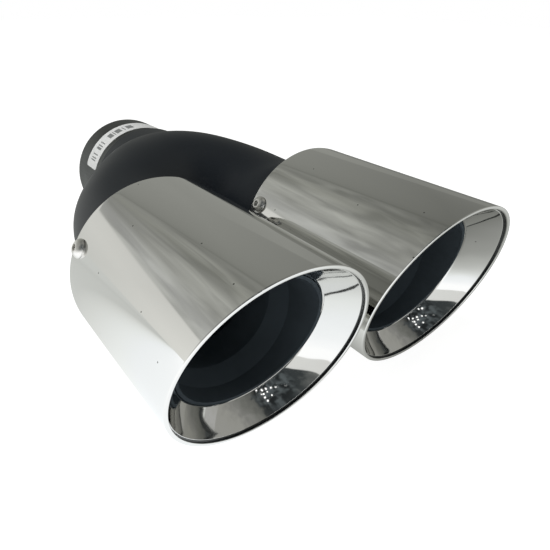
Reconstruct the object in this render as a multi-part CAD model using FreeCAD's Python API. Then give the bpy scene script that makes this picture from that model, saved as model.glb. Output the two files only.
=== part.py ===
import FreeCAD
import Part
import math
import os

from FreeCAD import Vector

# Twin exhaust tip, in millimetres.
# The inlet collar's mouth is centred on the origin, the gas runs towards -Y, and +Z is up.

# Inlet collar: a plain steel tube that slips over the tail pipe.
collar_diameter = 63.5
collar_wall = 1.5
collar_reach = 35.0
collar_insert = 12.0
collar_edge_round = 0.5

# Y body: two thin pressed half shells, butt-welded along mid height and ground flush. Together they form
# a round neck behind and two round branch ends in front. The neck's bore has a draft, so that it is a
# little wider at its lip and the collar wedges in at its end.
pipe_wall = 1.2
body_reach = 99.5
branch_diameter = 50.0
leg_lead = 4.0
leg_spread = 0.6
leg_rise = 1.1
crotch_setback = 27.5
crotch_radius = 9.0
shoulder_overrun = 6.0
body_step = 0.4
back_sharpness = 6.0
rise_sharpness = 1.4
neck_fillet = 8.0
neck_draft = 0.15

# Outer sleeves: thin polished tubes, cut at a slant so that the top stands further out.
tip_gap = 3.0
sleeve_diameter = 76.2
sleeve_wall = 1.5
sleeve_length = 82.8
slash_angle = 16.4
rim_round = 0.5
rear_round = 1.0

# Mouth cones: pressed funnels behind the rims, hemmed in front and pushed over the inner pipes behind.
# Their edges are all parallel to the slant mouths, so they are a turned form that is slanted as a whole.
cone_sheet = 1.0
cone_recess = 1.8
cone_nose = 0.3
cone_hem_length = 5.0
cone_depth = 13.1
opening_diameter = 57.3
spigot_length = 6.0

# Inner pipes: they slip over the branch ends behind and widen in front to carry the mouth cones.
slip_margin = 2.3
slip_length = 10.0
slip_taper = 4.0
socket_margin = 2.0
socket_taper = 8.0

# Mounting rings: U-section pressings that centre the sleeves' rear ends on the branch ends.
ring_sheet = 1.2
ring_inset = 1.2
ring_depth = 12.0
ring_corner = 1.5

# Screws, each in a weld nut on the ring.
screw_angles = (30.0, 150.0, 270.0)
screw_diameter = 4.0
screw_length = 8.0
screw_hole_clearance = 0.3
head_diameter = 7.6
head_height = 2.2
head_edge = 0.4
hex_socket_width = 2.5
hex_socket_depth = 1.3
nut_width = 7.0
nut_height = 3.2
nut_clearance = 0.1

# Welds, the paper label and the fit of what slides together.
weld_leg = 2.2
weld_crown = 0.25
label_thickness = 0.15
label_width = 14.5
label_inset = 13.3
label_start_angle = 50.0
label_end_angle = 158.0
label_corner = 1.5
seat_gap = 0.05

# Sizes and places that follow from the ones above.
collar_radius = collar_diameter / 2
branch_radius = branch_diameter / 2
sleeve_radius = sleeve_diameter / 2
sleeve_bore = sleeve_radius - sleeve_wall
opening_radius = opening_diameter / 2
neck_radius = collar_radius + pipe_wall
tip_x = (sleeve_diameter + tip_gap) / 2
centre_half_height = sleeve_bore - body_step
slash = math.tan(math.radians(slash_angle))

neck_lip_y = -collar_reach
sleeve_rear_y = neck_lip_y - body_reach
mouth_y = sleeve_rear_y - sleeve_length
leg_y = sleeve_rear_y + leg_lead
crotch_y = sleeve_rear_y + crotch_setback
back_reach = neck_lip_y + shoulder_overrun - crotch_y
cone_rear_y = mouth_y + cone_depth
socket_y = cone_rear_y + slash * opening_radius + spigot_length + socket_margin
ring_rear_y = sleeve_rear_y - ring_inset
screw_y = ring_rear_y - ring_sheet - nut_clearance - nut_width / 2
slip_rear_y = ring_rear_y - ring_depth - slip_margin
branch_front_y = slip_rear_y - slip_length

OVAL_POINTS = 16
FAN_STEPS = 8
REACH = 4 * sleeve_diameter
ALONG = Vector(0, 1, 0)
UP = Vector(0, 0, 1)


def turned(points, axis_x):
    """Solid of revolution about a line along Y: points are (radius, y) corners of its half section."""
    corners = [Vector(axis_x + radius, y, 0) for radius, y in points]
    face = Part.Face(Part.makePolygon(corners + corners[:1]))
    return face.revolve(Vector(axis_x, 0, 0), ALONG, 360)


def round_edges(shape, radius, chosen):
    """Fillets every edge whose middle point passes the test."""
    edges = []
    for edge in shape.Edges:
        middle = edge.valueAt((edge.FirstParameter + edge.LastParameter) / 2)
        if chosen(edge, middle):
            edges.append(edge)
    return shape.makeFillet(radius, edges)


def oval(centre, side, half_width, half_height):
    """Closed smooth oval in the upright plane through the centre and the side direction."""
    points = []
    for index in range(OVAL_POINTS):
        turn = 2 * math.pi * (index + 0.5) / OVAL_POINTS
        across = side * (half_width * math.cos(turn))
        upward = UP * (half_height * math.sin(turn))
        points.append(centre + across + upward)
    curve = Part.BSplineCurve()
    curve.interpolate(Points=points, PeriodicFlag=True, Parameters=list(range(OVAL_POINTS + 1)))
    return curve


def skin(ovals):
    """Solid inside one smooth surface that passes through all the ovals, with a flat face at each end."""
    places = list(range(len(ovals)))
    spines = []
    for column in zip(*[curve.getPoles() for curve in ovals]):
        spine = Part.BSplineCurve()
        spine.interpolate(Points=list(column), Parameters=places)
        spines.append(spine)
    surface = Part.BSplineSurface()
    surface.buildFromPolesMultsKnots(
        [spine.getPoles() for spine in spines],
        ovals[0].getMultiplicities(),
        spines[0].getMultiplicities(),
        ovals[0].getKnots(),
        spines[0].getKnots(),
        True,
        False,
        ovals[0].Degree,
        spines[0].Degree,
    )
    ends = [Part.Face(Part.Wire([surface.vIso(place).toShape()])) for place in (places[0], places[-1])]
    shell = Part.Shell([surface.toShape()] + ends)
    shell.sewShape()
    return Part.Solid(shell)


def ahead_of_plane(depth):
    """Block of all that lies ahead of a plane parallel to the mouths, depth behind them on the axis."""
    block = Part.makeBox(2 * REACH, REACH, 2 * REACH, Vector(-REACH, -REACH, -REACH))
    block.rotate(Vector(0, 0, 0), Vector(1, 0, 0), slash_angle)
    block.translate(Vector(0, mouth_y + depth, 0))
    return block


def radial(shape, axis_x, angle):
    """Turns a shape that points along +Z at the tip's axis to a clock angle, and moves it to the tip."""
    shape.rotate(Vector(0, 0, 0), ALONG, 90 - angle)
    shape.translate(Vector(axis_x, screw_y, 0))
    return shape


def hexagon(width, height, base):
    """Upright six-sided prism with two flats facing along Y."""
    corner = width / math.sqrt(3)
    points = []
    for index in range(7):
        turn = math.radians(60 * index)
        points.append(Vector(corner * math.cos(turn), corner * math.sin(turn), base))
    return Part.Face(Part.makePolygon(points)).extrude(Vector(0, 0, height))


def leg_section(axis_side, share, inset):
    """Oval of one leg between the round branch (share 0) and the crotch (share 1)."""
    blend = share * share * (3 - 2 * share)
    crotch_outer = tip_x + branch_radius + leg_spread
    half_width = branch_radius + ((crotch_outer - crotch_radius) / 2 - branch_radius) * blend
    centre_x = tip_x + ((crotch_outer + crotch_radius) / 2 - tip_x) * blend
    half_height = branch_radius + leg_rise * blend
    centre = Vector(axis_side * centre_x, leg_y + (crotch_y - leg_y) * share, 0)
    return oval(centre, Vector(axis_side, 0, 0), half_width - inset, half_height - inset)


def fan_section(angle, inset):
    """Oval of the body's centre in an upright plane that turns about the crotch."""
    swing = math.sin(math.radians(angle))
    leg_outer = tip_x + branch_radius + leg_spread
    outer = leg_outer + (back_reach - leg_outer) * swing ** back_sharpness
    low_half_height = branch_radius + leg_rise
    half_height = low_half_height + (centre_half_height - low_half_height) * swing ** rise_sharpness
    half_width = (outer - crotch_radius) / 2
    side = Vector(math.cos(math.radians(angle)), swing, 0)
    centre = Vector(0, crotch_y, 0) + side * ((outer + crotch_radius) / 2)
    return oval(centre, side, half_width - inset, half_height - inset)


def trousers(inset):
    """The pressing's smooth centre: one skin from the right branch round the crotch to the left one."""
    leg_shares = (0.0, 0.33, 0.66)
    sections = [leg_section(1, share, inset) for share in leg_shares]
    for step in range(FAN_STEPS + 1):
        sections.append(fan_section(180 * step / FAN_STEPS, inset))
    sections += [leg_section(-1, share, inset) for share in reversed(leg_shares)]
    return skin(sections)


def branch(axis_side, inset):
    """Straight round end in front of a leg."""
    section = Part.Face(Part.Wire([leg_section(axis_side, 0.0, inset).toShape()]))
    return section.extrude(ALONG * (branch_front_y - leg_y))


def make_body():
    """Hollow body: neck, trousers and branches as one outside, less the same forms one wall smaller."""
    bulb_y = crotch_y + (back_reach + crotch_radius) / 2
    neck = Part.makeCylinder(neck_radius, neck_lip_y - bulb_y, Vector(0, bulb_y, 0), ALONG)
    outside = trousers(0).fuse(neck)

    def is_neck_junction(edge, middle):
        on_neck = abs(math.hypot(middle.x, middle.z) - neck_radius) < 0.01
        return on_neck and bulb_y + 1 < middle.y < neck_lip_y - 1 and edge.Length > 1

    outside = round_edges(outside, neck_fillet, is_neck_junction)
    draft = neck_draft / collar_insert
    wedged_y = neck_lip_y - collar_insert
    deep_radius = collar_radius + draft * (bulb_y - wedged_y)
    mouth_radius = collar_radius - draft * wedged_y
    bore = Part.makeCone(deep_radius, mouth_radius, -bulb_y, Vector(0, bulb_y, 0), ALONG)
    inside = trousers(pipe_wall).fuse(bore)
    for side in (1, -1):
        outside = outside.fuse(branch(side, 0))
        inside = inside.fuse(branch(side, pipe_wall))
    return outside.cut(inside)


def make_half_shells():
    """The body's upper and lower pressing, which are mirror images."""
    below = Part.makeBox(2 * REACH, 2 * REACH, REACH, Vector(-REACH, -REACH, -REACH))
    lower = make_body().common(below)
    return lower.mirror(Vector(0, 0, 0), UP), lower


def make_inner_pipe(axis_x):
    """Tube through the tip: swaged slip joint behind, slant-cut socket as wide as the opening in front."""
    front_y = mouth_y - REACH / 4
    slip_radius = branch_radius + seat_gap
    socket_radius = opening_radius - seat_gap
    bore = [
        (slip_radius, slip_rear_y),
        (slip_radius, branch_front_y),
        (branch_radius - pipe_wall, branch_front_y - slip_taper),
        (branch_radius - pipe_wall, socket_y + socket_taper),
        (socket_radius - pipe_wall, socket_y),
        (socket_radius - pipe_wall, front_y),
    ]
    outside = [(radius + pipe_wall, y) for radius, y in reversed(bore)]
    return turned(bore + outside, axis_x).cut(ahead_of_plane(cone_depth))


def make_collar():
    """Straight tube from the inlet's mouth into the neck."""
    rear = collar_reach + collar_insert
    bore_radius = collar_radius - collar_wall
    tube = turned([(bore_radius, 0), (collar_radius, 0), (collar_radius, -rear), (bore_radius, -rear)], 0)

    def is_outer_mouth_edge(edge, middle):
        outer = math.hypot(middle.x, middle.z) > collar_radius - 0.01
        return outer and abs(middle.y) < 0.01 and edge.Closed

    return round_edges(tube, collar_edge_round, is_outer_mouth_edge)


def make_weld(axis_x, radius, wall_y, wall_leg):
    """Bead in the corner between a tube and the wall that it passes through, with a low crown."""
    foot = Vector(axis_x + radius, wall_y + weld_leg, 0)
    root = Vector(axis_x + radius, wall_y, 0)
    top = Vector(axis_x + radius + wall_leg, wall_y, 0)
    middle = (top + foot) * 0.5
    outward = (middle - root).normalize() * weld_crown
    crown = Part.Arc(top, middle + outward, foot).toShape()
    lines = [Part.makeLine(foot, root), Part.makeLine(root, top), crown]
    return Part.Face(Part.Wire(lines)).revolve(Vector(axis_x, 0, 0), ALONG, 360)


def make_label():
    """Thin strip bent round the top of the collar, with rounded corners."""
    inner = Vector(collar_radius, -label_inset, 0)
    thick = Vector(label_thickness, 0, 0)
    wide = Vector(0, -label_width, 0)
    corners = [inner, inner + thick, inner + thick + wide, inner + wide, inner]
    face = Part.Face(Part.makePolygon(corners))
    face.rotate(Vector(0, 0, 0), ALONG, -label_start_angle)
    strip = face.revolve(Vector(0, 0, 0), ALONG, label_start_angle - label_end_angle)
    return round_edges(strip, label_corner, lambda edge, middle: abs(edge.Length - label_thickness) < 0.001)


def make_sleeve(axis_x):
    """Outer tube of one tip: slant cut in front, three screw holes near its rear edge."""
    front_y = mouth_y - REACH / 4
    section = [
        (sleeve_bore, sleeve_rear_y),
        (sleeve_radius, sleeve_rear_y),
        (sleeve_radius, front_y),
        (sleeve_bore, front_y),
    ]
    tube = turned(section, axis_x).cut(ahead_of_plane(0))

    def is_rear_edge(edge, middle):
        outer = math.hypot(middle.x - axis_x, middle.z) > sleeve_radius - 0.01
        return outer and abs(middle.y - sleeve_rear_y) < 0.01 and edge.Closed

    def is_rim_edge(edge, middle):
        return edge.Closed and abs(middle.y + slash * middle.z - mouth_y) < 0.01

    tube = round_edges(tube, rear_round, is_rear_edge)
    tube = round_edges(tube, rim_round, is_rim_edge)
    for angle in screw_angles:
        tube = tube.cut(make_screw_hole(axis_x, angle))
    return tube


def make_screw_hole(axis_x, angle):
    """Clearance hole through the sleeve and the ring below it."""
    radius = screw_diameter / 2 + screw_hole_clearance / 2
    start = sleeve_radius / 2
    return radial(Part.makeCylinder(radius, sleeve_radius, Vector(0, 0, start), UP), axis_x, angle)


def make_mouth_cone(axis_x):
    """Pressed funnel: hem against the sleeve's bore, straight cone, spigot round the inner pipe."""
    hem_outer = sleeve_bore - seat_gap
    hem_inner = hem_outer - cone_sheet
    nose_radius = hem_outer - cone_nose
    narrowing = (nose_radius - opening_radius) / (cone_depth - cone_recess)
    corner_depth = cone_recess + (nose_radius + cone_sheet - hem_inner) / narrowing
    hem_end = cone_recess + cone_hem_length
    spigot_end = cone_depth + spigot_length
    section = [
        (nose_radius, cone_recess),
        (hem_outer, cone_recess),
        (hem_outer, hem_end),
        (hem_inner, hem_end),
        (hem_inner, corner_depth),
        (opening_radius + cone_sheet, cone_depth),
        (opening_radius + cone_sheet, spigot_end),
        (opening_radius, spigot_end),
        (opening_radius, cone_depth),
    ]
    square = turned([(radius, mouth_y + depth) for radius, depth in section], axis_x)
    slant = FreeCAD.Matrix()
    slant.A23 = -slash
    return square.transformGeometry(slant)


def make_mount_ring(axis_x):
    """U-section ring, open to the front, with its web just inside the sleeve's rear edge."""
    outer = sleeve_bore - seat_gap
    inner = branch_radius + seat_gap
    rear = ring_rear_y
    web = rear - ring_sheet
    front = rear - ring_depth
    section = [
        (inner, rear),
        (outer, rear),
        (outer, front),
        (outer - ring_sheet, front),
        (outer - ring_sheet, web),
        (inner + ring_sheet, web),
        (inner + ring_sheet, front),
        (inner, front),
    ]
    ring = turned(section, axis_x)

    def is_pressed_corner(edge, middle):
        radius = math.hypot(middle.x - axis_x, middle.z)
        return edge.Closed and abs(middle.y - rear) < 0.01 and radius > outer - 0.01

    ring = round_edges(ring, ring_corner, is_pressed_corner)
    for angle in screw_angles:
        ring = ring.cut(make_screw_hole(axis_x, angle))
    return ring


def make_screw(axis_x, angle):
    """Button-head screw with a hexagon socket, its head seated on the sleeve."""
    head_radius = head_diameter / 2
    crest = Vector(head_radius / 2, 0, head_height)
    shoulder = Vector(head_radius * 0.8, 0, head_height * 0.7)
    rim_top = Vector(head_radius, 0, head_edge)
    rim_foot = Vector(head_radius, 0, 0)
    shank_radius = screw_diameter / 2
    lines = [
        Part.makeLine(Vector(0, 0, head_height), crest),
        Part.Arc(crest, shoulder, rim_top).toShape(),
        Part.makeLine(rim_top, rim_foot),
        Part.makeLine(rim_foot, Vector(shank_radius, 0, 0)),
        Part.makeLine(Vector(shank_radius, 0, 0), Vector(shank_radius, 0, -screw_length)),
        Part.makeLine(Vector(shank_radius, 0, -screw_length), Vector(0, 0, -screw_length)),
        Part.makeLine(Vector(0, 0, -screw_length), Vector(0, 0, head_height)),
    ]
    screw = Part.Face(Part.Wire(lines)).revolve(Vector(0, 0, 0), UP, 360)
    screw = screw.cut(hexagon(hex_socket_width, hex_socket_depth, head_height - hex_socket_depth))
    screw.translate(Vector(0, 0, sleeve_radius))
    return radial(screw, axis_x, angle)


def make_nut(axis_x, angle):
    """Hexagon weld nut whose two side corners bear on the ring's flange."""
    flange_inner = sleeve_bore - seat_gap - ring_sheet
    half_across_corners = nut_width / math.sqrt(3)
    top = math.sqrt(flange_inner ** 2 - half_across_corners ** 2)
    nut = hexagon(nut_width, nut_height, top - nut_height)
    bore = Part.makeCylinder(screw_diameter / 2, 2 * nut_height, Vector(0, 0, top - 1.5 * nut_height), UP)
    return radial(nut.cut(bore), axis_x, angle)


def make_parts():
    """Every piece of the assembly by name."""
    upper_shell, lower_shell = make_half_shells()
    pieces = {
        "inlet_collar": make_collar(),
        "upper_shell": upper_shell,
        "lower_shell": lower_shell,
        "collar_weld": make_weld(0, collar_radius, neck_lip_y, pipe_wall),
        "paper_label": make_label(),
    }
    for name, axis_x in (("left", -tip_x), ("right", tip_x)):
        pieces[name + "_sleeve"] = make_sleeve(axis_x)
        pieces[name + "_mouth_cone"] = make_mouth_cone(axis_x)
        pieces[name + "_inner_pipe"] = make_inner_pipe(axis_x)
        pieces[name + "_mount_ring"] = make_mount_ring(axis_x)
        pieces[name + "_ring_weld"] = make_weld(axis_x, branch_radius + seat_gap, ring_rear_y, weld_leg)
        for number, angle in enumerate(screw_angles, 1):
            pieces[name + "_screw_" + str(number)] = make_screw(axis_x, angle)
            pieces[name + "_nut_" + str(number)] = make_nut(axis_x, angle)
    return pieces


os.makedirs("parts", exist_ok=True)
for piece_name, piece in make_parts().items():
    if len(piece.Solids) != 1 or not piece.isValid():
        raise RuntimeError(piece_name + " is not one valid solid")
    piece.Solids[0].exportStep("parts/" + piece_name + ".step")
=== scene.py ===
import math

import bmesh
import bpy
from mathutils import Matrix, Vector


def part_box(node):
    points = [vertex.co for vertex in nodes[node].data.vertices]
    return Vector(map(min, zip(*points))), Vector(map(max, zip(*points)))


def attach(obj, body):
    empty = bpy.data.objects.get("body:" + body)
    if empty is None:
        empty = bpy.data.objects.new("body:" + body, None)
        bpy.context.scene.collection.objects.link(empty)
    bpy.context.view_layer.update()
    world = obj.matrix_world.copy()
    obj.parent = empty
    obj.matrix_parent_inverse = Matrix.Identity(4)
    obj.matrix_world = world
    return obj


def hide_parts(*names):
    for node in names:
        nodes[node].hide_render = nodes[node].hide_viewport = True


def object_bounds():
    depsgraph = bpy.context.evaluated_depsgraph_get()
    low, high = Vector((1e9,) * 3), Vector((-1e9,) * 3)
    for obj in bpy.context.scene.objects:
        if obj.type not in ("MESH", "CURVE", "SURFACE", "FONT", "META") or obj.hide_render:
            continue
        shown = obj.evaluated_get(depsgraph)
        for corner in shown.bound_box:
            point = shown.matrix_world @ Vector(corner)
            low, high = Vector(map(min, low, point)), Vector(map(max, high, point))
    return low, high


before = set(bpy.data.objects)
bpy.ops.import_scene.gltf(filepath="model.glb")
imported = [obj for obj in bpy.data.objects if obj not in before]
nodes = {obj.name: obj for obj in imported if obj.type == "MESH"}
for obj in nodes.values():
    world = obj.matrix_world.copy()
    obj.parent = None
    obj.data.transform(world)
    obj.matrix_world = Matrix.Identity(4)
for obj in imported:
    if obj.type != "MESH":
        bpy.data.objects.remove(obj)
cad_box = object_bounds()
scene = bpy.context.scene
scene.view_settings.view_transform = "Standard"

# Camera
# It stands close in front of the left tip, above it, and looks down and to the right across both mouths.
# The photograph is a crop of a wider picture, so the optical centre lies off the middle of the frame.
PHOTO_SIDE = 550
FOCAL_PIXELS = 497.94
OPTICAL_CENTRE = (287.09, 300.67)
SENSOR_WIDTH = 36.0
CAMERA_PLACE = Vector((-0.1124, -0.3166, 0.0994))
CAMERA_HEADING = math.radians(-37.64)
CAMERA_PITCH = math.radians(31.58)
CAMERA_ROLL = math.radians(1.24)
NEAREST_SEEN = 0.01

camera_data = bpy.data.cameras.new("photo_camera")
camera_data.sensor_width = SENSOR_WIDTH
camera_data.lens = FOCAL_PIXELS / PHOTO_SIDE * SENSOR_WIDTH
camera_data.shift_x = (PHOTO_SIDE / 2 - OPTICAL_CENTRE[0]) / PHOTO_SIDE
camera_data.shift_y = (OPTICAL_CENTRE[1] - PHOTO_SIDE / 2) / PHOTO_SIDE
camera_data.clip_start = NEAREST_SEEN
camera = bpy.data.objects.new("photo_camera", camera_data)
scene.collection.objects.link(camera)
turn = Matrix.Rotation(CAMERA_HEADING, 4, "Z")
tilt = Matrix.Rotation(math.pi / 2 - CAMERA_PITCH, 4, "X")
roll = Matrix.Rotation(CAMERA_ROLL, 4, "Z")
camera.matrix_world = Matrix.Translation(CAMERA_PLACE) @ turn @ tilt @ roll
scene.camera = camera


# Studio
# The room that the polished steel mirrors. Ahead of the tips hangs a tent of grey cloth, with a paler wall
# below its straight lower edge on the left. Its folds fan out from the corner where that edge ends. Behind
# the camera the room is dark above a light wall, with a few small ceiling lamps.
def linear(hex_colour):
    """Linear colour of an sRGB hex value."""
    channels = [int(hex_colour[start:start + 2], 16) / 255 for start in (1, 3, 5)]
    return tuple(c / 12.92 if c <= 0.04045 else ((c + 0.055) / 1.055) ** 2.4 for c in channels) + (1.0,)


def add_node(tree, kind, inputs=None, stops=None, **settings):
    """Adds a node with its settings, its ramp stops, and its inputs set to values or linked to sockets.

    Where a node has several inputs of one name, as Math and Mix do, they are given by number.
    """
    node = tree.nodes.new(kind)
    for name, value in settings.items():
        setattr(node, name, value)
    for name, value in (inputs or {}).items():
        if isinstance(value, bpy.types.NodeSocket):
            tree.links.new(value, node.inputs[name])
        else:
            node.inputs[name].default_value = value
    if stops:
        elements = node.color_ramp.elements
        elements.remove(elements[0])
        for index, (place, colour) in enumerate(stops):
            element = elements[0] if index == 0 else elements.new(place)
            element.position = place
            element.color = linear(colour)
    return node


FULL_TURN = 360.0
# The studio's colours are written as they look in the steel, which gives back this share of the light.
STEEL_MIRRORS = 0.75
# The corner of the cloth, as the tangents of its directions to the right of straight ahead and up.
CLOTH_CORNER = (-0.056, 0.38)
# The tent is drawn flat, straight ahead. Every direction counts as pointing ahead by at least this share.
LEAST_AHEAD = 0.05
# What the tent shows by the direction out of that corner: 0 right, 90 up, 180 left along the lower edge.
TENT = (
    (0, "#868782"), (20, "#83847f"), (40, "#80817c"), (58, "#7c7d78"), (65, "#787974"), (67, "#6d6e69"),
    (69, "#7a7b76"), (76, "#82837e"), (100, "#84857f"), (114, "#898a85"), (124, "#969792"),
    (134, "#9c9d98"), (144, "#959691"), (156, "#a2a39f"), (168, "#abaca9"), (179.5, "#afb0ac"),
    (180.5, "#c4c4c0"), (200, "#c7c7c3"), (225, "#bebfbb"), (250, "#b9bab6"), (300, "#90918c"),
    (325, "#868782"), (360, "#868782"),
)
LOWER_EDGE = (180.5 / FULL_TURN, 179.5 / FULL_TURN)

world = bpy.data.worlds.new("studio")
scene.world = world
world.use_nodes = True
tree = world.node_tree
tree.nodes.clear()
direction = add_node(tree, "ShaderNodeTexCoord").outputs["Generated"]
axes = add_node(tree, "ShaderNodeSeparateXYZ", {"Vector": direction}).outputs
ahead = add_node(tree, "ShaderNodeMath", {0: axes["Y"], 1: LEAST_AHEAD}, operation="MAXIMUM").outputs[0]
flatten = add_node(tree, "ShaderNodeMath", {0: 1.0, 1: ahead}, operation="DIVIDE").outputs[0]
on_tent = add_node(
    tree, "ShaderNodeVectorMath", {0: direction, "Scale": flatten}, operation="SCALE"
).outputs[0]
from_corner = add_node(
    tree, "ShaderNodeVectorMath", {0: on_tent, 1: (CLOTH_CORNER[0], 1.0, CLOTH_CORNER[1])},
    operation="SUBTRACT"
).outputs[0]
reach = add_node(tree, "ShaderNodeVectorMath", {0: from_corner}, operation="LENGTH").outputs["Value"]
corner_axes = add_node(tree, "ShaderNodeSeparateXYZ", {"Vector": from_corner}).outputs
fan = add_node(
    tree, "ShaderNodeMath", {0: corner_axes["Z"], 1: corner_axes["X"]}, operation="ARCTAN2"
).outputs[0]
fan_share = add_node(tree, "ShaderNodeMath", {0: fan, 1: 2 * math.pi}, operation="DIVIDE").outputs[0]
fan_share = add_node(tree, "ShaderNodeMath", {0: fan_share, 1: 1.0}, operation="FLOORED_MODULO").outputs[0]
tent = add_node(
    tree, "ShaderNodeValToRGB", {"Fac": fan_share},
    [(degrees / FULL_TURN, colour) for degrees, colour in TENT]
).outputs["Color"]

# On the right the tent grows darker with the reach from the corner.
RIGHT_COSINES = (-0.4, 0.2)
RIGHT_REACH = (0.5, 1.4)
RIGHT_FAR_GAIN = 0.66
right_side = add_node(tree, "ShaderNodeMath", {0: corner_axes["X"], 1: reach}, operation="DIVIDE").outputs[0]
right_side = add_node(
    tree, "ShaderNodeMapRange",
    {"Value": right_side, "From Min": RIGHT_COSINES[0], "From Max": RIGHT_COSINES[1]}
).outputs[0]
right_gain = add_node(
    tree, "ShaderNodeMapRange",
    {"Value": reach, "From Min": RIGHT_REACH[0], "From Max": RIGHT_REACH[1],
     "To Min": 1.0, "To Max": RIGHT_FAR_GAIN}
).outputs[0]
right_gain = add_node(tree, "ShaderNodeMix", {0: right_side, 2: 1.0, 3: right_gain}).outputs[0]

# The cloth on the left is dark in the corner, lightest half way out and darker again far out.
LEFT_DEGREES = (95, 130)
CORNER_REACH = (0.12, 0.65)
CORNER_GAINS = (0.68, 1.1)
FAR_REACH = (0.6, 1.0)
FAR_GAIN = 0.74
left_gain = add_node(
    tree, "ShaderNodeMapRange",
    {"Value": reach, "From Min": CORNER_REACH[0], "From Max": CORNER_REACH[1],
     "To Min": CORNER_GAINS[0], "To Max": CORNER_GAINS[1]}
).outputs[0]
cloth = add_node(
    tree, "ShaderNodeMapRange", {"Value": fan_share, "From Min": LOWER_EDGE[0], "From Max": LOWER_EDGE[1]}
).outputs[0]
left_cloth = add_node(
    tree, "ShaderNodeMapRange",
    {"Value": fan_share, "From Min": LEFT_DEGREES[0] / FULL_TURN, "From Max": LEFT_DEGREES[1] / FULL_TURN}
).outputs[0]
left_cloth = add_node(tree, "ShaderNodeMath", {0: left_cloth, 1: cloth}, operation="MULTIPLY").outputs[0]
far_gain = add_node(
    tree, "ShaderNodeMapRange",
    {"Value": reach, "From Min": FAR_REACH[0], "From Max": FAR_REACH[1], "To Min": 1.0, "To Max": FAR_GAIN}
).outputs[0]
left_gain = add_node(tree, "ShaderNodeMath", {0: left_gain, 1: far_gain}, operation="MULTIPLY").outputs[0]
left_gain = add_node(tree, "ShaderNodeMix", {0: left_cloth, 2: 1.0, 3: left_gain}).outputs[0]

# The wall below the cloth grows lighter outwards.
WALL_FAR_GAIN = 1.2
wall_gain = add_node(
    tree, "ShaderNodeMapRange",
    {"Value": reach, "From Min": FAR_REACH[0], "From Max": FAR_REACH[1],
     "To Min": 1.0, "To Max": WALL_FAR_GAIN}
).outputs[0]
wall_gain = add_node(tree, "ShaderNodeMix", {0: cloth, 2: wall_gain, 3: 1.0}).outputs[0]

# The folds are streaks of this width and length that run outwards. They begin a little way off the corner.
FOLD_DEGREES = 15.0
FOLD_REACH = 0.26
FOLD_HEIGHTS = (0.34, 0.72)
FOLD_GAINS = (0.76, 1.22)
FOLDS_FROM_DEGREES = (67, 74)
FOLDS_FROM_REACH = (0.14, 0.32)
fold_across = add_node(
    tree, "ShaderNodeMath", {0: fan, 1: math.degrees(1) / FOLD_DEGREES}, operation="MULTIPLY"
).outputs[0]
fold_along = add_node(tree, "ShaderNodeMath", {0: reach, 1: 1 / FOLD_REACH}, operation="MULTIPLY").outputs[0]
fold_place = add_node(tree, "ShaderNodeCombineXYZ", {"X": fold_across, "Y": fold_along}).outputs[0]
folds = add_node(
    tree, "ShaderNodeTexNoise", {"Vector": fold_place, "Scale": 1.0, "Detail": 2.0, "Distortion": 0.7}
).outputs["Fac"]
fold_gain = add_node(
    tree, "ShaderNodeMapRange",
    {"Value": folds, "From Min": FOLD_HEIGHTS[0], "From Max": FOLD_HEIGHTS[1],
     "To Min": FOLD_GAINS[0], "To Max": FOLD_GAINS[1]}
).outputs[0]
fold_zone = add_node(
    tree, "ShaderNodeMapRange",
    {"Value": fan_share, "From Min": FOLDS_FROM_DEGREES[0] / FULL_TURN,
     "From Max": FOLDS_FROM_DEGREES[1] / FULL_TURN}
).outputs[0]
fold_zone = add_node(tree, "ShaderNodeMath", {0: fold_zone, 1: cloth}, operation="MULTIPLY").outputs[0]
off_corner = add_node(
    tree, "ShaderNodeMapRange",
    {"Value": reach, "From Min": FOLDS_FROM_REACH[0], "From Max": FOLDS_FROM_REACH[1]}
).outputs[0]
fold_zone = add_node(tree, "ShaderNodeMath", {0: fold_zone, 1: off_corner}, operation="MULTIPLY").outputs[0]
fold_gain = add_node(tree, "ShaderNodeMix", {0: fold_zone, 2: 1.0, 3: fold_gain}).outputs[0]

# Straight overhead the tent is open to a darker ceiling.
OVERHEAD_HEIGHTS = (0.83, 0.93)
OVERHEAD_GAIN = 0.55
overhead_gain = add_node(
    tree, "ShaderNodeMapRange",
    {"Value": axes["Z"], "From Min": OVERHEAD_HEIGHTS[0], "From Max": OVERHEAD_HEIGHTS[1],
     "To Min": 1.0, "To Max": OVERHEAD_GAIN}
).outputs[0]
for gain in (right_gain, left_gain, wall_gain, fold_gain, overhead_gain):
    tent = add_node(tree, "ShaderNodeVectorMath", {0: tent, "Scale": gain}, operation="SCALE").outputs[0]

# What the room behind shows, by the bearing to the right of straight ahead: on its light wall and above it.
LOW_WALL = (
    (-180, "#c2c3c0"), (-150, "#d4d5d3"), (-90, "#ccccca"), (0, "#8c8c89"), (60, "#83837d"),
    (85, "#92928e"), (104, "#a1a19f"), (125, "#989893"), (150, "#8e8e8a"), (180, "#c2c3c0"),
)
HIGH_WALL = (
    (-180, "#303334"), (-165, "#333739"), (-130, "#363a3b"), (-110, "#6c6e6c"), (-90, "#939390"),
    (0, "#83837d"), (60, "#7e7e77"), (100, "#90908c"), (120, "#8e8e89"), (135, "#7a7a77"),
    (152, "#656662"), (161, "#5c5d5a"), (168, "#303334"), (180, "#303334"),
)
BACK_EDGE_HEIGHT = math.sin(math.radians(15))
EDGE_BLUR = 0.008
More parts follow.
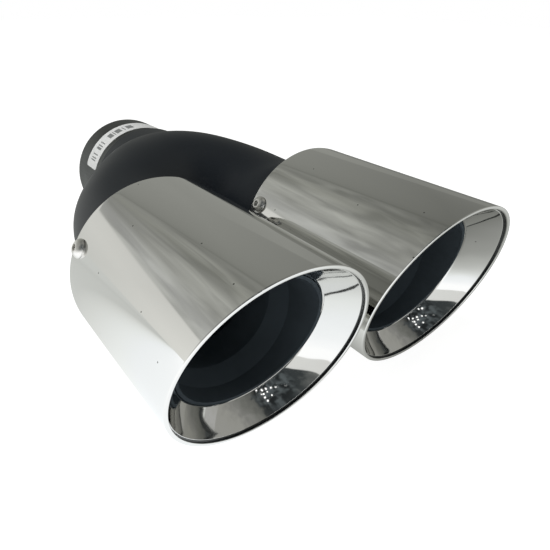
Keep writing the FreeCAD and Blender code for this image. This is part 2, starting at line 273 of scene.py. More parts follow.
# Clutter in the room bends the bearings, by up to half of this to either side, in radians.
CLUTTER_BEND = 0.5
CLUTTER_DEGREES = 6.366
clutter = add_node(
    tree, "ShaderNodeTexNoise",
    {"Vector": direction, "Scale": math.degrees(1) / CLUTTER_DEGREES, "Detail": 2.0}
).outputs["Fac"]
bearing = add_node(tree, "ShaderNodeMath", {0: axes["X"], 1: axes["Y"]}, operation="ARCTAN2").outputs[0]
bearing = add_node(
    tree, "ShaderNodeMath", {0: clutter, 1: CLUTTER_BEND, 2: bearing}, operation="MULTIPLY_ADD"
).outputs[0]
bearing_share = add_node(
    tree, "ShaderNodeMapRange",
    {"Value": bearing, "From Min": CLUTTER_BEND / 2 - math.pi, "From Max": CLUTTER_BEND / 2 + math.pi}
).outputs[0]
low_wall = add_node(
    tree, "ShaderNodeValToRGB", {"Fac": bearing_share},
    [(degrees / FULL_TURN + 0.5, colour) for degrees, colour in LOW_WALL]
).outputs["Color"]
high_wall = add_node(
    tree, "ShaderNodeValToRGB", {"Fac": bearing_share},
    [(degrees / FULL_TURN + 0.5, colour) for degrees, colour in HIGH_WALL]
).outputs["Color"]
above_back_edge = add_node(
    tree, "ShaderNodeMapRange",
    {"Value": axes["Z"], "From Min": BACK_EDGE_HEIGHT - EDGE_BLUR, "From Max": BACK_EDGE_HEIGHT + EDGE_BLUR}
).outputs[0]
room = add_node(
    tree, "ShaderNodeMix", {0: above_back_edge, 6: low_wall, 7: high_wall}, data_type="RGBA"
).outputs[2]

# The lamps hang together in one part of the room, and the clutter near them is mottled by their light.
LAMP_SPACING_DEGREES = 4.5
LAMP_RADIUS_SHARE = 0.25
LAMP_LIGHT = (1.5, 1.5, 1.5, 1.0)
LAMPS_DIRECTION = Vector((-0.2, -0.75, 0.62)).normalized()
LAMPS_DEGREES = 16
MOTTLED_DEGREES = (28, 18)
MOTTLE_HEIGHTS = (0.4, 0.62)
MOTTLE_GAINS = (0.5, 2.4)
lamps = add_node(
    tree, "ShaderNodeTexVoronoi", {"Vector": direction, "Scale": math.degrees(1) / LAMP_SPACING_DEGREES}
).outputs["Distance"]
lamps = add_node(tree, "ShaderNodeMath", {0: lamps, 1: LAMP_RADIUS_SHARE}, operation="LESS_THAN").outputs[0]
lamp_nearness = add_node(
    tree, "ShaderNodeVectorMath", {0: direction, 1: LAMPS_DIRECTION}, operation="DOT_PRODUCT"
).outputs["Value"]
near_lamps = add_node(
    tree, "ShaderNodeMapRange",
    {"Value": lamp_nearness, "From Min": math.cos(math.radians(MOTTLED_DEGREES[0])),
     "From Max": math.cos(math.radians(MOTTLED_DEGREES[1]))}
).outputs[0]
clutter_gain = add_node(
    tree, "ShaderNodeMapRange",
    {"Value": clutter, "From Min": MOTTLE_HEIGHTS[0], "From Max": MOTTLE_HEIGHTS[1],
     "To Min": MOTTLE_GAINS[0], "To Max": MOTTLE_GAINS[1]}
).outputs[0]
clutter_gain = add_node(tree, "ShaderNodeMix", {0: near_lamps, 2: 1.0, 3: clutter_gain}).outputs[0]
room = add_node(tree, "ShaderNodeVectorMath", {0: room, "Scale": clutter_gain}, operation="SCALE").outputs[0]
lamp_zone = add_node(
    tree, "ShaderNodeMath", {0: lamp_nearness, 1: math.cos(math.radians(LAMPS_DEGREES))},
    operation="GREATER_THAN"
).outputs[0]
lamps = add_node(tree, "ShaderNodeMath", {0: lamps, 1: lamp_zone}, operation="MULTIPLY").outputs[0]
room = add_node(tree, "ShaderNodeMix", {0: lamps, 6: room, 7: LAMP_LIGHT}, data_type="RGBA").outputs[2]

# The tent passes into the room beside the part. The camera sees plain white in place of both.
TENT_ENDS = (0.26, -0.02)
behind = add_node(
    tree, "ShaderNodeMapRange", {"Value": axes["Y"], "From Min": TENT_ENDS[0], "From Max": TENT_ENDS[1]},
    interpolation_type="SMOOTHSTEP"
).outputs[0]
studio = add_node(tree, "ShaderNodeMix", {0: behind, 6: tent, 7: room}, data_type="RGBA").outputs[2]
is_camera = add_node(tree, "ShaderNodeLightPath").outputs["Is Camera Ray"]
plain_white = (STEEL_MIRRORS, STEEL_MIRRORS, STEEL_MIRRORS, 1.0)
seen = add_node(tree, "ShaderNodeMix", {0: is_camera, 6: studio, 7: plain_white}, data_type="RGBA").outputs[2]
background = add_node(tree, "ShaderNodeBackground", {"Color": seen, "Strength": 1 / STEEL_MIRRORS})
add_node(tree, "ShaderNodeOutputWorld", {"Surface": background.outputs[0]})


# Table
# A smooth white board that the part lies on. It shows plain white with the part's soft shadow. The steel
# mirrors painted light and shade on it: white near the camera and greyer further off, and grey on the right,
# where a painted shade stands for the shade it lies in.
def start_material(name):
    """New material with an empty node tree."""
    material = bpy.data.materials.new(name)
    material.use_nodes = True
    material.node_tree.nodes.clear()
    return material


TABLE_SIZE = 6.0
BOARD_GLOW = 0.9
BOARD_COLOUR = "#b4b4b4"
# Its painted light and shade as the steel mirrors it, by the place along a line that runs away from the
# camera, in metres.
LANE_SLOPE = 1.1
LANE_START, LANE_END = -0.40, 0.0
PAINTED_LANE = (
    (-0.40, "#fdfeff"), (-0.32, "#f6f8fa"), (-0.28, "#eef1f3"), (-0.257, "#e9ecee"), (-0.235, "#e1e4e3"),
    (-0.195, "#cbcdca"), (-0.17, "#bdbfbc"), (-0.12, "#bdbfbc"), (-0.07, "#babcb9"), (0.0, "#c0c2bf"),
)
# Painted shade on the right of the board, mirrored in the steel where the board lies in shade.
PAINTED_SHADE_COLOUR = "#6c6d69"
SHADE_ACROSS = (-0.03, 0.06)
SHADE_ALONG = (-0.27, -0.2)
bpy.ops.object.select_all(action="DESELECT")
bpy.ops.mesh.primitive_plane_add(size=TABLE_SIZE, location=(0, 0, cad_box[0][2]))
bpy.ops.object.transform_apply(location=True, rotation=True, scale=True)
table = bpy.context.object
table.name = "table"

# Matt white laminate gives the eye a plain white field. Its glow is for the camera alone and keeps the
# shadow pale.
board = start_material("white_board")
tree = board.node_tree
place = add_node(tree, "ShaderNodeTexCoord").outputs["Object"]
place_axes = add_node(tree, "ShaderNodeSeparateXYZ", {"Vector": place}).outputs
along_lane = add_node(
    tree, "ShaderNodeMath", {0: place_axes["X"], 1: LANE_SLOPE, 2: place_axes["Y"]}, operation="MULTIPLY_ADD"
).outputs[0]
along_lane = add_node(
    tree, "ShaderNodeMapRange", {"Value": along_lane, "From Min": LANE_START, "From Max": LANE_END}
).outputs[0]
lane = add_node(
    tree, "ShaderNodeValToRGB", {"Fac": along_lane},
    [((metres - LANE_START) / (LANE_END - LANE_START), colour) for metres, colour in PAINTED_LANE]
).outputs["Color"]
painted_shade = add_node(
    tree, "ShaderNodeMapRange",
    {"Value": place_axes["X"], "From Min": SHADE_ACROSS[0], "From Max": SHADE_ACROSS[1]},
    interpolation_type="SMOOTHSTEP"
).outputs[0]
beside = add_node(
    tree, "ShaderNodeMapRange",
    {"Value": place_axes["Y"], "From Min": SHADE_ALONG[0], "From Max": SHADE_ALONG[1]},
    interpolation_type="SMOOTHSTEP"
).outputs[0]
painted_shade = add_node(tree, "ShaderNodeMath", {0: painted_shade, 1: beside}, operation="MULTIPLY").outputs[0]
# For glossy rays the board glows with this painted light and shade in place of its own lit look.
painted_mirror_look = add_node(
    tree, "ShaderNodeMix", {0: painted_shade, 6: lane, 7: linear(PAINTED_SHADE_COLOUR)}, data_type="RGBA"
).outputs[2]
painted_mirror_look = add_node(tree, "ShaderNodeEmission", {"Color": painted_mirror_look, "Strength": 1 / STEEL_MIRRORS})
path = add_node(tree, "ShaderNodeLightPath").outputs
glow_strength = add_node(
    tree, "ShaderNodeMath", {0: path["Is Camera Ray"], 1: BOARD_GLOW}, operation="MULTIPLY"
).outputs[0]
glow = add_node(tree, "ShaderNodeEmission", {"Color": (1.0, 1.0, 1.0, 1.0), "Strength": glow_strength})
matt = add_node(tree, "ShaderNodeBsdfDiffuse", {"Color": linear(BOARD_COLOUR)})
lit = add_node(tree, "ShaderNodeAddShader", {0: glow.outputs[0], 1: matt.outputs[0]})
both = add_node(
    tree, "ShaderNodeMixShader", {0: path["Is Glossy Ray"], 1: lit.outputs[0], 2: painted_mirror_look.outputs[0]}
)
add_node(tree, "ShaderNodeOutputMaterial", {"Surface": both.outputs[0]})
table.data.materials.append(board)

# Lamp
# One large soft box above and to the left of the part. It lights the matt surfaces and casts the soft shadow.
# Glossy surfaces don't mirror it, because all that they show is in the studio.
SOFT_BOX_SIZE = (0.8, 0.6)
SOFT_BOX_WATTS = 6.0
SOFT_BOX_PLACE = Vector((-0.5, -0.1, 1.0))
SOFT_BOX_AIM = Vector((0.0, -0.13, 0.0))
lamp_data = bpy.data.lights.new("soft_box", "AREA")
lamp_data.shape = "RECTANGLE"
lamp_data.size, lamp_data.size_y = SOFT_BOX_SIZE
lamp_data.energy = SOFT_BOX_WATTS
lamp = bpy.data.objects.new("soft_box", lamp_data)
scene.collection.objects.link(lamp)
facing = (SOFT_BOX_PLACE - SOFT_BOX_AIM).to_track_quat("Z", "Y").to_matrix().to_4x4()
lamp.matrix_world = Matrix.Translation(SOFT_BOX_PLACE) @ facing
lamp.visible_glossy = False


# Inlet collar
# A length of drawn mild-steel tube, pushed into the body's neck and welded there. It is left unpainted, and
# the drawing oil and the heat of the weld have dulled it.
def dress(material, *names):
    """Gives carried-over nodes a material."""
    for name in names:
        for slot in nodes[name].material_slots:
            slot.material = material


MILLIMETRE = 0.001
DRAW_LINE_SPACING = 0.6 * MILLIMETRE
DRAW_LINE_STRETCH = 0.06
DRAW_LINE_DEPTH = 0.02 * MILLIMETRE
SCALE_PATCH = 16.667 * MILLIMETRE

# Drawn mild steel gives the eye a dark, cloudy grey metal, with a satin sheen that fine lines along it break
# up. The lines are drawn coarser than they are, because real ones are too fine for the render.
drawn_steel = start_material("drawn_mild_steel")
tree = drawn_steel.node_tree
place = add_node(tree, "ShaderNodeTexCoord").outputs["Object"]
along = add_node(
    tree, "ShaderNodeMapping", {"Vector": place, "Scale": (1.0, DRAW_LINE_STRETCH, 1.0)}
).outputs[0]
lines = add_node(
    tree, "ShaderNodeTexNoise", {"Vector": along, "Scale": 1 / DRAW_LINE_SPACING, "Detail": 2.0}
).outputs["Fac"]
cloud = add_node(
    tree, "ShaderNodeTexNoise", {"Vector": place, "Scale": 1 / SCALE_PATCH, "Detail": 3.0}
).outputs["Fac"]
tone = add_node(
    tree, "ShaderNodeValToRGB", {"Fac": cloud}, [(0.3, "#444747"), (0.7, "#5a5d5d")]
).outputs["Color"]
sheen = add_node(tree, "ShaderNodeMapRange", {"Value": lines, "To Min": 0.36, "To Max": 0.5}).outputs[0]
relief = add_node(
    tree, "ShaderNodeBump", {"Height": lines, "Strength": 0.12, "Distance": DRAW_LINE_DEPTH}
).outputs[0]
shader = add_node(
    tree, "ShaderNodeBsdfPrincipled",
    {"Base Color": tone, "Metallic": 1.0, "Roughness": sheen, "Normal": relief}
)
add_node(tree, "ShaderNodeOutputMaterial", {"Surface": shader.outputs[0]})
dress(drawn_steel, "inlet_collar")

# Paper label
# A self-adhesive strip of white coated paper, stuck round the top of the collar. It carries a plain pattern
# of grey bars along its middle.
LABEL_GREY = "#8b8d8d"
BAR_SPACING = 0.7 * MILLIMETRE
BAR_LENGTH = 6.4 * MILLIMETRE
BAR_SHARE = 0.5
FIBRE_SIZE = 1.1111 * MILLIMETRE
# Where the bars stand round the collar, from its right side over the top.
BARS_MIDDLE = math.radians(122)
BARS_HALF_RUN = math.radians(29)
label_low, label_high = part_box("paper_label")
label_middle = (label_low[1] + label_high[1]) / 2
collar_low, collar_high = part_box("inlet_collar")
collar_radius = (collar_high[0] - collar_low[0]) / 2

# Coated paper gives the eye a clean white with a faint satin gloss. Its fibres show as slight clouds, drawn
# coarser than they are, because real ones are too fine for the render.
paper = start_material("coated_label_paper")
tree = paper.node_tree
place = add_node(tree, "ShaderNodeTexCoord").outputs["Object"]
axes = add_node(tree, "ShaderNodeSeparateXYZ", {"Vector": place}).outputs
around = add_node(tree, "ShaderNodeMath", {0: axes["Z"], 1: axes["X"]}, operation="ARCTAN2").outputs[0]
bar_place = add_node(
    tree, "ShaderNodeMath", {0: around, 1: collar_radius / BAR_SPACING}, operation="MULTIPLY"
).outputs[0]
bar_number = add_node(tree, "ShaderNodeMath", {0: bar_place}, operation="FLOOR").outputs[0]
chance = add_node(
    tree, "ShaderNodeTexWhiteNoise", {"W": bar_number}, noise_dimensions="1D"
).outputs["Value"]
is_bar = add_node(
    tree, "ShaderNodeMath", {0: chance, 1: 1 - BAR_SHARE}, operation="GREATER_THAN"
).outputs[0]
off_middle = add_node(
    tree, "ShaderNodeMath", {0: axes["Y"], 1: label_middle}, operation="SUBTRACT"
).outputs[0]
off_middle = add_node(tree, "ShaderNodeMath", {0: off_middle}, operation="ABSOLUTE").outputs[0]
in_row = add_node(
    tree, "ShaderNodeMath", {0: off_middle, 1: BAR_LENGTH / 2}, operation="LESS_THAN"
).outputs[0]
in_run = add_node(
    tree, "ShaderNodeMath", {0: around, 1: BARS_MIDDLE, 2: BARS_HALF_RUN}, operation="COMPARE"
).outputs[0]
printed = add_node(tree, "ShaderNodeMath", {0: is_bar, 1: in_row}, operation="MULTIPLY").outputs[0]
printed = add_node(tree, "ShaderNodeMath", {0: printed, 1: in_run}, operation="MULTIPLY").outputs[0]
fibre = add_node(
    tree, "ShaderNodeTexNoise", {"Vector": place, "Scale": 1 / FIBRE_SIZE, "Detail": 2.0}
).outputs["Fac"]
white = add_node(
    tree, "ShaderNodeValToRGB", {"Fac": fibre}, [(0.3, "#f3f4f4"), (0.7, "#fcfcfc")]
).outputs["Color"]
colour = add_node(
    tree, "ShaderNodeMix", {0: printed, 6: white, 7: linear(LABEL_GREY)}, data_type="RGBA"
).outputs[2]
shader = add_node(tree, "ShaderNodeBsdfPrincipled", {"Base Color": colour, "Roughness": 0.55})
add_node(tree, "ShaderNodeOutputMaterial", {"Surface": shader.outputs[0]})
dress(paper, "paper_label")

# Y body and its neck weld
# Two pressed half shells of thin mild steel, butt-welded along mid height and ground flush, then welded to
# the collar. The whole is sprayed with a satin black heat-resistant paint.
PEEL_SIZE = 1.6 * MILLIMETRE
PEEL_DEPTH = 0.03 * MILLIMETRE
SHEEN_PATCH = 40 * MILLIMETRE

# Satin black paint gives the eye a blue-black with broad soft highlights, slightly uneven in sheen, over a
# fine orange peel.
black_paint = start_material("satin_black_paint")
tree = black_paint.node_tree
place = add_node(tree, "ShaderNodeTexCoord").outputs["Object"]
peel = add_node(
    tree, "ShaderNodeTexNoise", {"Vector": place, "Scale": 1 / PEEL_SIZE, "Detail": 2.0}
).outputs["Fac"]
cloud = add_node(
    tree, "ShaderNodeTexNoise", {"Vector": place, "Scale": 1 / SHEEN_PATCH, "Detail": 3.0}
).outputs["Fac"]
sheen = add_node(
    tree, "ShaderNodeMapRange",
    {"Value": cloud, "From Min": 0.3, "From Max": 0.7, "To Min": 0.42, "To Max": 0.5}
).outputs[0]
relief = add_node(
    tree, "ShaderNodeBump", {"Height": peel, "Strength": 0.15, "Distance": PEEL_DEPTH}
).outputs[0]
shader = add_node(
    tree, "ShaderNodeBsdfPrincipled",
    {"Base Color": linear("#1d2228"), "Roughness": sheen, "Specular IOR Level": 0.45, "Normal": relief}
)
add_node(tree, "ShaderNodeOutputMaterial", {"Surface": shader.outputs[0]})
dress(black_paint, "upper_shell", "lower_shell", "collar_weld")

# Inner pipes
# Thin steel tubes that carry the gas from the branches to the mouths. They slip over the branch ends behind
# and are coated with a matt high-temperature paint.
SOOT_PATCH = 25 * MILLIMETRE

# Matt high-temperature paint gives the eye no highlight at all. Its cloudy blue-grey is painted light,
# lighter than the paint's own black, and it turns black with depth, because little light gets in.
matt_paint_painted_light = start_material("matt_high_temperature_paint_painted_light")
tree = matt_paint_painted_light.node_tree
place = add_node(tree, "ShaderNodeTexCoord").outputs["Object"]
cloud = add_node(
    tree, "ShaderNodeTexNoise", {"Vector": place, "Scale": 1 / SOOT_PATCH, "Detail": 3.0}
).outputs["Fac"]
# Painted light: these greys stand in for light in the pipes, above the paint's own black.
tone = add_node(
    tree, "ShaderNodeValToRGB", {"Fac": cloud}, [(0.3, "#505960"), (0.7, "#5c666e")]
).outputs["Color"]
shader = add_node(
    tree, "ShaderNodeBsdfPrincipled", {"Base Color": tone, "Roughness": 0.9, "Specular IOR Level": 0.1}
)
add_node(tree, "ShaderNodeOutputMaterial", {"Surface": shader.outputs[0]})
dress(matt_paint_painted_light, "left_inner_pipe", "right_inner_pipe")

# Mounting rings and their welds
# U-section rings pressed from stainless sheet, which centre the sleeves on the branches. Each is welded round
# its branch.
MILL_PATCH = 11.111 * MILLIMETRE

# Sheet stainless with its finish from the mill gives the eye a dull light grey, cloudy in tone and in sheen.
mill_steel = start_material("mill_finish_stainless")
tree = mill_steel.node_tree
place = add_node(tree, "ShaderNodeTexCoord").outputs["Object"]
cloud = add_node(
    tree, "ShaderNodeTexNoise", {"Vector": place, "Scale": 1 / MILL_PATCH, "Detail": 4.0}
).outputs["Fac"]
tone = add_node(
    tree, "ShaderNodeValToRGB", {"Fac": cloud}, [(0.3, "#8e8e8b"), (0.7, "#a9a9a6")]
).outputs["Color"]
sheen = add_node(tree, "ShaderNodeMapRange", {"Value": cloud, "To Min": 0.28, "To Max": 0.42}).outputs[0]
shader = add_node(
    tree, "ShaderNodeBsdfPrincipled", {"Base Color": tone, "Metallic": 1.0, "Roughness": sheen}
)
add_node(tree, "ShaderNodeOutputMaterial", {"Surface": shader.outputs[0]})
dress(mill_steel, "left_mount_ring", "right_mount_ring", "left_ring_weld", "right_ring_weld")


# Outer sleeves
# Each is a short length of thin stainless tube, cut square behind and at a slant in front, with its edges
# rounded over. Its outside is buffed to a mirror and its bore is left as drawn. It slides over its mounting
# ring, and three screws hold it.
def select_edges(piece, test):
    """In edit mode, selects only the edges whose two ends both pass the test."""
    bpy.ops.mesh.select_mode(type="EDGE")
    bpy.ops.mesh.select_all(action="DESELECT")
    mesh = bmesh.from_edit_mesh(piece.data)
    for edge in mesh.edges:
        edge.select_set(all(test(vertex.co) for vertex in edge.verts))
    bmesh.update_edit_mesh(piece.data)


def apply_modifier(piece, kind, **settings):
    """Adds a modifier with its settings to the piece, and applies it."""
    modifier = piece.modifiers.new(kind.lower(), kind)
    for name, value in settings.items():
        setattr(modifier, name, value)
    bpy.context.view_layer.objects.active = piece
    bpy.ops.object.modifier_apply(modifier=modifier.name)


ROUND_SEGMENTS = 256
SLASH = math.tan(math.radians(16.4))
SLEEVE_WALL = 1.5 * MILLIMETRE
RIM_ROUND = 0.5 * MILLIMETRE
RIM_SEGMENTS = 4
REAR_ROUND = 1.0 * MILLIMETRE
REAR_SEGMENTS = 5
SCREW_ANGLES = (30, 150, 270)
SCREW_HOLE_RADIUS = 2.15 * MILLIMETRE
SCREW_HOLE_SEGMENTS = 48
HOLE_ZONE = 3.0 * MILLIMETRE
TOUCH = 0.01 * MILLIMETRE
SMOOTH_SLEEVE = math.radians(30)
HAZE_PATCH = 28.571 * MILLIMETRE
PIT_SPACING = 29.0 * MILLIMETRE
PIT_RADIUS = 0.17 * MILLIMETRE
WAVE_SIZE = 11.111 * MILLIMETRE
WAVE_STRETCH = 0.15
WAVE_DEPTH = 0.02 * MILLIMETRE
WAVE_STRENGTH = 0.25
BORE_PATCH = 8.3333 * MILLIMETRE
sleeve_low, sleeve_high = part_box("right_sleeve")
tip_x = (sleeve_low[0] + sleeve_high[0]) / 2
sleeve_radius = (sleeve_high[0] - sleeve_low[0]) / 2

# Mirror-polished stainless gives the eye the room itself, a little darker and warmer. Faint waves along the
# tube bend the reflections, haze softens them in patches, and a few small dark pits sit in the polish.
mirror_steel = start_material("mirror_polished_stainless")
tree = mirror_steel.node_tree
place = add_node(tree, "ShaderNodeTexCoord").outputs["Object"]
haze = add_node(
    tree, "ShaderNodeTexNoise", {"Vector": place, "Scale": 1 / HAZE_PATCH, "Detail": 3.0}
).outputs["Fac"]
sheen = add_node(
    tree, "ShaderNodeMapRange",
    {"Value": haze, "From Min": 0.3, "From Max": 0.7, "To Min": 0.04, "To Max": 0.07}
).outputs[0]
# The pits lie on the unrolled tube, so that each is a round spot. Both tubes are as far off the middle.
axes = add_node(tree, "ShaderNodeSeparateXYZ", {"Vector": place}).outputs
off_axis = add_node(tree, "ShaderNodeMath", {0: axes["X"]}, operation="ABSOLUTE").outputs[0]
off_axis = add_node(tree, "ShaderNodeMath", {0: off_axis, 1: tip_x}, operation="SUBTRACT").outputs[0]
around = add_node(tree, "ShaderNodeMath", {0: axes["Z"], 1: off_axis}, operation="ARCTAN2").outputs[0]
around = add_node(tree, "ShaderNodeMath", {0: around, 1: sleeve_radius}, operation="MULTIPLY").outputs[0]
unrolled = add_node(tree, "ShaderNodeCombineXYZ", {"X": around, "Y": axes["Y"]}).outputs[0]
pit = add_node(
    tree, "ShaderNodeTexVoronoi", {"Vector": unrolled, "Scale": 1 / PIT_SPACING}, voronoi_dimensions="2D"
).outputs["Distance"]
pit = add_node(
    tree, "ShaderNodeMapRange",
    {"Value": pit, "From Min": PIT_RADIUS / PIT_SPACING, "From Max": 2 * PIT_RADIUS / PIT_SPACING}
).outputs[0]
tone = add_node(
    tree, "ShaderNodeMix", {0: pit, 6: linear("#3a3a38"), 7: linear("#e1e1df")}, data_type="RGBA"
).outputs[2]
stretched = add_node(
    tree, "ShaderNodeMapping", {"Vector": place, "Scale": (1.0, WAVE_STRETCH, 1.0)}
).outputs[0]
wave = add_node(
    tree, "ShaderNodeTexNoise", {"Vector": stretched, "Scale": 1 / WAVE_SIZE, "Detail": 1.0}
).outputs["Fac"]
relief = add_node(
    tree, "ShaderNodeBump", {"Height": wave, "Strength": WAVE_STRENGTH, "Distance": WAVE_DEPTH}
).outputs[0]
shader = add_node(
    tree, "ShaderNodeBsdfPrincipled",
    {"Base Color": tone, "Metallic": 1.0, "Roughness": sheen, "Normal": relief}
)
add_node(tree, "ShaderNodeOutputMaterial", {"Surface": shader.outputs[0]})

# Drawn stainless that nobody polished gives the eye a dull dark strip between the rim and the funnel. Its
# dullness is its own; its darkness is painted shade, for the shade in the groove there.
bore_steel_painted_shade = start_material("unpolished_bore_painted_shade")
tree = bore_steel_painted_shade.node_tree
place = add_node(tree, "ShaderNodeTexCoord").outputs["Object"]
haze = add_node(
    tree, "ShaderNodeTexNoise", {"Vector": place, "Scale": 1 / BORE_PATCH, "Detail": 3.0}
).outputs["Fac"]
# Painted shade: these greys are far darker than the steel's own, for the groove's shade.
tone = add_node(
    tree, "ShaderNodeValToRGB", {"Fac": haze}, [(0.3, "#5e6061"), (0.7, "#6c6e6e")]
).outputs["Color"]
sheen = add_node(tree, "ShaderNodeMapRange", {"Value": haze, "To Min": 0.3, "To Max": 0.45}).outputs[0]
shader = add_node(
    tree, "ShaderNodeBsdfPrincipled", {"Base Color": tone, "Metallic": 1.0, "Roughness": sheen}
)
add_node(tree, "ShaderNodeOutputMaterial", {"Surface": shader.outputs[0]})

for side in ("left", "right"):
    low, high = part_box(side + "_sleeve")
    screw_low, screw_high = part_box(side + "_screw_3")
    radius = (high[0] - low[0]) / 2
    axis_x = (high[0] + low[0]) / 2
    rear_y = high[1]
    mouth_y = low[1] + SLASH * radius
    screw_y = (screw_low[1] + screw_high[1]) / 2
    bore = radius - SLEEVE_WALL
    bpy.ops.object.select_all(action="DESELECT")
    bpy.ops.mesh.primitive_cylinder_add(
        vertices=ROUND_SEGMENTS, radius=radius, depth=2 * (rear_y - mouth_y), end_fill_type="NOTHING",
        location=(axis_x, mouth_y, 0), rotation=(math.pi / 2, 0, 0)
    )
    sleeve = bpy.context.object
    sleeve.name = side + "_polished_sleeve"
    bpy.ops.object.transform_apply(location=True, rotation=True, scale=True)
    apply_modifier(sleeve, "SOLIDIFY", thickness=SLEEVE_WALL, offset=-1.0)

    # The slant cut, and two loops that keep the screw holes' long facets away from the mirror in front.
    bpy.ops.object.mode_set(mode="EDIT")
    bpy.ops.mesh.select_all(action="SELECT")
    bpy.ops.mesh.bisect(plane_co=(axis_x, mouth_y, 0), plane_no=(0, 1, SLASH), clear_inner=True)
    for loop_y in (screw_y - HOLE_ZONE, screw_y + HOLE_ZONE):
        bpy.ops.mesh.select_all(action="SELECT")
        bpy.ops.mesh.bisect(plane_co=(axis_x, loop_y, 0), plane_no=(0, 1, 0))
    select_edges(sleeve, lambda place: abs(place.y + SLASH * place.z - mouth_y) < TOUCH)
    bpy.ops.mesh.bridge_edge_loops()
    select_edges(sleeve, lambda place: abs(place.y - rear_y) < TOUCH
                 and math.hypot(place.x - axis_x, place.z) > radius - TOUCH)
    bpy.ops.mesh.bevel(offset=REAR_ROUND, segments=REAR_SEGMENTS, affect="EDGES")
    for rim_radius in (radius, bore):
        select_edges(sleeve, lambda place: abs(place.y + SLASH * place.z - mouth_y) < TOUCH
                     and abs(math.hypot(place.x - axis_x, place.z) - rim_radius) < TOUCH)
        bpy.ops.mesh.bevel(offset=RIM_ROUND, segments=RIM_SEGMENTS, affect="EDGES")
    bpy.ops.object.mode_set(mode="OBJECT")

    for angle in SCREW_ANGLES:
        outward = Vector((math.cos(math.radians(angle)), 0, math.sin(math.radians(angle))))
        bpy.ops.object.select_all(action="DESELECT")
        bpy.ops.mesh.primitive_cylinder_add(
            vertices=SCREW_HOLE_SEGMENTS, radius=SCREW_HOLE_RADIUS, depth=4 * SLEEVE_WALL,
            location=Vector((axis_x, screw_y, 0)) + outward * radius,
            rotation=outward.to_track_quat("Z", "Y").to_euler()
        )
        drill = bpy.context.object
        apply_modifier(sleeve, "BOOLEAN", object=drill, operation="DIFFERENCE", solver="EXACT")
        bpy.data.objects.remove(drill)
    bpy.ops.object.select_all(action="DESELECT")
    sleeve.select_set(True)
    bpy.context.view_layer.objects.active = sleeve
    bpy.ops.object.shade_smooth_by_angle(angle=SMOOTH_SLEEVE)
    apply_modifier(sleeve, "WEIGHTED_NORMAL", mode="FACE_AREA", keep_sharp=True)
    sleeve.data.materials.clear()
    sleeve.data.materials.append(mirror_steel)
    sleeve.data.materials.append(bore_steel_painted_shade)
    # The bore faces take the dull steel with its painted shade.
    for face in sleeve.data.polygons:
        if math.hypot(face.center.x - axis_x, face.center.z) < bore + TOUCH:
            face.material_index = 1
    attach(sleeve, "root")
    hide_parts(side + "_sleeve")

# Mouth cones
# Each is a funnel pressed from polished stainless sheet. Its outer edge is folded into a hem that grips the
# sleeve's bore, and its rear edge is drawn into a short spigot over the inner pipe.
CONE_SHEET = 1.0 * MILLIMETRE
CONE_RECESS = 1.8 * MILLIMETRE
CONE_NOSE = 0.3 * MILLIMETRE
HEM_LENGTH = 5.0 * MILLIMETRE
CONE_DEPTH = 13.1 * MILLIMETRE
OPENING_RADIUS = 28.65 * MILLIMETRE
SPIGOT_LENGTH = 6.0 * MILLIMETRE
SEAT_GAP = 0.05 * MILLIMETRE
OPENING_ROUND = 1.0 * MILLIMETRE
OPENING_SEGMENTS = 12
HOLLOW = 0.3 * MILLIMETRE
HOLLOW_STEPS = 8
NOSE_ROUND = 0.12 * MILLIMETRE
NOSE_SEGMENTS = 3
SMOOTH_CONE = math.radians(25)
PRESS_WAVE_DEPTH = 0.3 * MILLIMETRE
PRESS_WAVE_STRENGTH = 0.7

# Pressed and polished stainless gives the eye the same mirror, but the press has left it wavier, so that the
# edges in its reflections wander.
pressed_steel = mirror_steel.copy()
pressed_steel.name = "pressed_polished_stainless"
for node in pressed_steel.node_tree.nodes:
    if node.bl_idname == "ShaderNodeBump":
        node.inputs["Distance"].default_value = PRESS_WAVE_DEPTH
        node.inputs["Strength"].default_value = PRESS_WAVE_STRENGTH

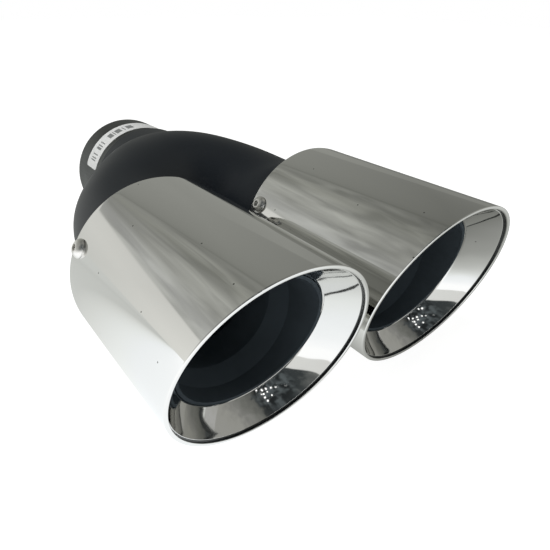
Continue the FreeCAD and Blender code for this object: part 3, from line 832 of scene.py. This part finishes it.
for side in ("left", "right"):
    low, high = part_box(side + "_sleeve")
    radius = (high[0] - low[0]) / 2
    axis_x = (high[0] + low[0]) / 2
    mouth_y = low[1] + SLASH * radius
    hem_outer = radius - SLEEVE_WALL - SEAT_GAP
    hem_inner = hem_outer - CONE_SHEET
    nose_radius = hem_outer - CONE_NOSE
    narrowing = (nose_radius - OPENING_RADIUS) / (CONE_DEPTH - CONE_RECESS)
    corner_depth = CONE_RECESS + (nose_radius + CONE_SHEET - hem_inner) / narrowing
    # The half section, as radius and depth behind the mouth: nose, hem, back, spigot and opening.
    rings = [
        (nose_radius, CONE_RECESS),
        (hem_outer, CONE_RECESS),
        (hem_outer, CONE_RECESS + HEM_LENGTH),
        (hem_inner, CONE_RECESS + HEM_LENGTH),
        (hem_inner, corner_depth),
        (OPENING_RADIUS + CONE_SHEET, CONE_DEPTH),
        (OPENING_RADIUS + CONE_SHEET, CONE_DEPTH + SPIGOT_LENGTH),
        (OPENING_RADIUS, CONE_DEPTH + SPIGOT_LENGTH),
        (OPENING_RADIUS, CONE_DEPTH),
    ]
    # The face is a little hollow: it sinks in between the opening and the nose.
    for step in range(1, HOLLOW_STEPS):
        share = step / HOLLOW_STEPS
        sink = 4 * HOLLOW * share * (1 - share)
        rings.append((
            OPENING_RADIUS + (nose_radius - OPENING_RADIUS) * share + sink,
            CONE_DEPTH + (CONE_RECESS - CONE_DEPTH) * share + sink,
        ))
    rings.append((nose_radius, CONE_RECESS))
    bpy.ops.object.select_all(action="DESELECT")
    bpy.ops.mesh.primitive_circle_add(
        vertices=ROUND_SEGMENTS, radius=nose_radius, location=(axis_x, mouth_y + CONE_RECESS, 0),
        rotation=(math.pi / 2, 0, 0)
    )
    cone = bpy.context.object
    cone.name = side + "_polished_cone"
    bpy.ops.object.transform_apply(location=True, rotation=True, scale=True)
    bpy.ops.object.mode_set(mode="EDIT")
    bpy.ops.mesh.select_mode(type="EDGE")
    bpy.ops.mesh.select_all(action="SELECT")
    for (old_radius, old_depth), (new_radius, new_depth) in zip(rings, rings[1:]):
        bpy.ops.mesh.extrude_region_move()
        growth = new_radius / old_radius
        bpy.ops.transform.resize(
            value=(growth, 1, growth), center_override=(axis_x, mouth_y + old_depth, 0)
        )
        bpy.ops.transform.translate(value=(0, new_depth - old_depth, 0))
    bpy.ops.mesh.select_all(action="SELECT")
    bpy.ops.mesh.remove_doubles(threshold=TOUCH)
    bpy.ops.mesh.normals_make_consistent(inside=False)
    select_edges(cone, lambda place: abs(math.hypot(place.x - axis_x, place.z) - OPENING_RADIUS) < TOUCH
                 and abs(place.y - mouth_y - CONE_DEPTH) < TOUCH)
    bpy.ops.mesh.bevel(offset=OPENING_ROUND, segments=OPENING_SEGMENTS, affect="EDGES")
    select_edges(cone, lambda place: abs(place.y - mouth_y - CONE_RECESS) < TOUCH
                 and math.hypot(place.x - axis_x, place.z) < nose_radius + TOUCH)
    bpy.ops.mesh.bevel(offset=NOSE_ROUND, segments=NOSE_SEGMENTS, affect="EDGES")
    bpy.ops.object.mode_set(mode="OBJECT")
    # The turned form is sheared as a whole, so that all its edges are parallel to the slant mouth.
    slant = Matrix.Identity(4)
    slant[1][2] = -SLASH
    cone.data.transform(slant)
    bpy.ops.object.shade_smooth_by_angle(angle=SMOOTH_CONE)
    apply_modifier(cone, "WEIGHTED_NORMAL", mode="FACE_AREA", keep_sharp=True)
    cone.data.materials.clear()
    cone.data.materials.append(pressed_steel)
    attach(cone, "root")
    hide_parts(side + "_mouth_cone")

# Screws and weld nuts
# Button-head screws with hexagon sockets, turned from stainless bar, in plain hexagon weld nuts that sit
# inside the mounting rings.
TURNED_GRAIN = 1.4286 * MILLIMETRE

# Turned stainless gives the eye a bright silver with soft highlights. The tool's marks are too fine for the
# render, so they are drawn as a coarser grain in the sheen.
bright_steel = start_material("turned_stainless")
tree = bright_steel.node_tree
place = add_node(tree, "ShaderNodeTexCoord").outputs["Object"]
grain = add_node(
    tree, "ShaderNodeTexNoise", {"Vector": place, "Scale": 1 / TURNED_GRAIN, "Detail": 2.0}
).outputs["Fac"]
sheen = add_node(tree, "ShaderNodeMapRange", {"Value": grain, "To Min": 0.3, "To Max": 0.4}).outputs[0]
shader = add_node(
    tree, "ShaderNodeBsdfPrincipled", {"Base Color": linear("#efeeeb"), "Metallic": 1.0, "Roughness": sheen}
)
add_node(tree, "ShaderNodeOutputMaterial", {"Surface": shader.outputs[0]})
for side in ("left", "right"):
    for number in ("1", "2", "3"):
        dress(bright_steel, side + "_screw_" + number, side + "_nut_" + number)
